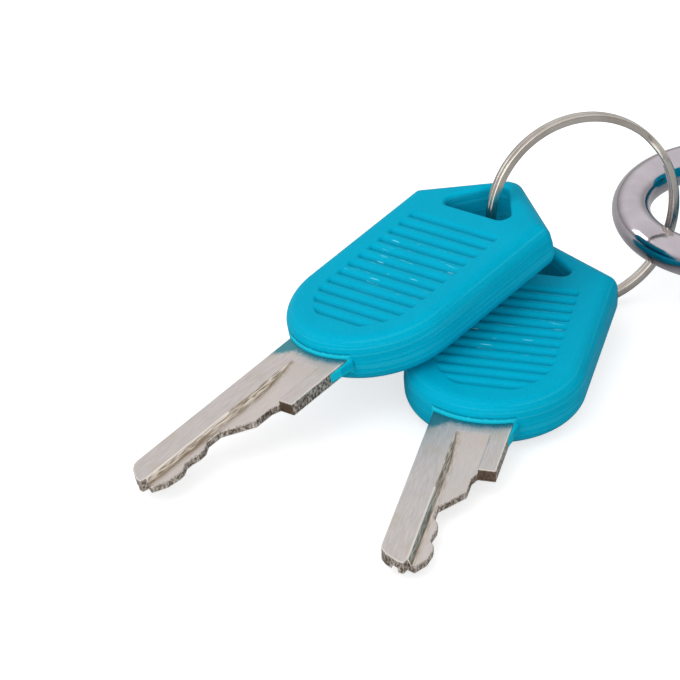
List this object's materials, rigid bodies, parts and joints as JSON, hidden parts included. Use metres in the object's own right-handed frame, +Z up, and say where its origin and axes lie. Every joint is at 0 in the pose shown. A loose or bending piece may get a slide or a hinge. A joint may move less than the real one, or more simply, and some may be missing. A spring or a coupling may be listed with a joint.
{
  "type": "luggage padlock",
  "caption": "Small luggage padlock with a turquoise plastic cover, a steel shackle, a pin tumbler plug, a split ring and flat keys with ribbed plastic heads.",
  "frame": {"origin": "middle of the back cover's flat face, which lies on the table", "axes": "+X along the lock, from the shackle's bow (at -X) to the keyway's end (at +X); +Y across the lock, on the side of the shackle's heel leg; +Z up, through the lock's thickness"},
  "size_m": [0.1056, 0.075, 0.0211],
  "materials": {
    "turquoise_plastic": "satin moulded turquoise plastic",
    "zinc_casting": "plain zinc die casting",
    "rivet_steel": "plain steel",
    "chromed_shackle": "polished chrome plate",
    "pin_steel": "plain steel",
    "spring_steel": "bright spring wire",
    "brass": "turned brass",
    "nickel_ring": "polished nickel plate",
    "nickel_blade": "worn nickel plate, milled"
  },
  "bodies": {
    "lock_body": {"back_cover": "turquoise_plastic", "front_cover": "turquoise_plastic", "case_back_half": "zinc_casting", "case_front_half": "zinc_casting", "case_rivets": "rivet_steel", "shackle_pin": "pin_steel", "shackle_spring": "spring_steel", "driver_spring_1": "spring_steel", "driver_spring_2": "spring_steel", "driver_spring_3": "spring_steel", "latch_spring_1": "spring_steel", "latch_spring_2": "spring_steel"},
    "shackle": {"shackle": "chromed_shackle"},
    "plug": {"plug": "brass"},
    "toe_latch": {"toe_latch": "pin_steel"},
    "heel_latch": {"heel_latch": "pin_steel"},
    "key_pin_1": {"key_pin_1": "brass"},
    "driver_pin_1": {"driver_pin_1": "brass"},
    "key_pin_2": {"key_pin_2": "brass"},
    "driver_pin_2": {"driver_pin_2": "brass"},
    "key_pin_3": {"key_pin_3": "brass"},
    "driver_pin_3": {"driver_pin_3": "brass"},
    "key_ring": {"key_ring": "nickel_ring"},
    "key_1": {"key_1_blade": "nickel_blade", "key_1_head": "turquoise_plastic"},
    "key_2": {"key_2_blade": "nickel_blade", "key_2_head": "turquoise_plastic"}
  },
  "joints": [
    {"name": "shackle_lift", "type": "slide", "parent": "lock_body", "child": "shackle", "axis": [-1, 0, 0], "range_m": [0, 0.0126], "deforming": ["shackle_spring"]},
    {"name": "plug_turn", "type": "hinge", "parent": "lock_body", "child": "plug", "pos_m": [0.0072, 0, 0.0075], "axis": [1, 0, 0], "range_deg": [-90, 0]},
    {"name": "toe_latch_slide", "type": "slide", "parent": "lock_body", "child": "toe_latch", "axis": [0, 1, 0], "range_m": [-0.0016, 0], "deforming": ["latch_spring_1"]},
    {"name": "heel_latch_slide", "type": "slide", "parent": "lock_body", "child": "heel_latch", "axis": [0, -1, 0], "range_m": [-0.0016, 0], "deforming": ["latch_spring_2"]},
    {"name": "key_pin_1_drop", "type": "slide", "parent": "plug", "child": "key_pin_1", "axis": [0, 0, 1], "range_m": [0, 0.0032]},
    {"name": "key_pin_2_drop", "type": "slide", "parent": "plug", "child": "key_pin_2", "axis": [0, 0, 1], "range_m": [0, 0.001]},
    {"name": "key_pin_3_drop", "type": "slide", "parent": "plug", "child": "key_pin_3", "axis": [0, 0, 1], "range_m": [0, 0.0015]},
    {"name": "driver_pin_1_push", "type": "slide", "parent": "lock_body", "child": "driver_pin_1", "axis": [0, -1, 0], "range_m": [0, 0.001], "stiffness_N_per_m": 400, "deforming": ["driver_spring_1"]},
    {"name": "driver_pin_2_push", "type": "slide", "parent": "lock_body", "child": "driver_pin_2", "axis": [0, -1, 0], "range_m": [0, 0.001], "stiffness_N_per_m": 400, "deforming": ["driver_spring_2"]},
    {"name": "driver_pin_3_push", "type": "slide", "parent": "lock_body", "child": "driver_pin_3", "axis": [0, -1, 0], "range_m": [0, 0.001], "stiffness_N_per_m": 400, "deforming": ["driver_spring_3"]},
    {"name": "key_ring_swing", "type": "hinge", "parent": "shackle", "child": "key_ring", "pos_m": [-0.03727, -0.00394, 0.0075], "axis": [-0.3584, 0.9336, 0], "range_deg": [0, 60]},
    {"name": "key_1_swing", "type": "hinge", "parent": "key_ring", "child": "key_1", "pos_m": [-0.04328, -0.00546, 0.01067], "axis": [-0.3298, 0.9263, -0.1822], "range_deg": [0, 60]},
    {"name": "key_2_swing", "type": "hinge", "parent": "key_ring", "child": "key_2", "pos_m": [-0.04328, -0.00546, 0.01067], "axis": [0.3298, -0.9263, 0.1822], "range_deg": [0, 30]}
  ],
  "couplings": [
    {"joint": "toe_latch_slide", "follows": "plug_turn", "m_per_rad": 0.0010186},
    {"joint": "heel_latch_slide", "follows": "plug_turn", "m_per_rad": 0.0010186}
  ]
}
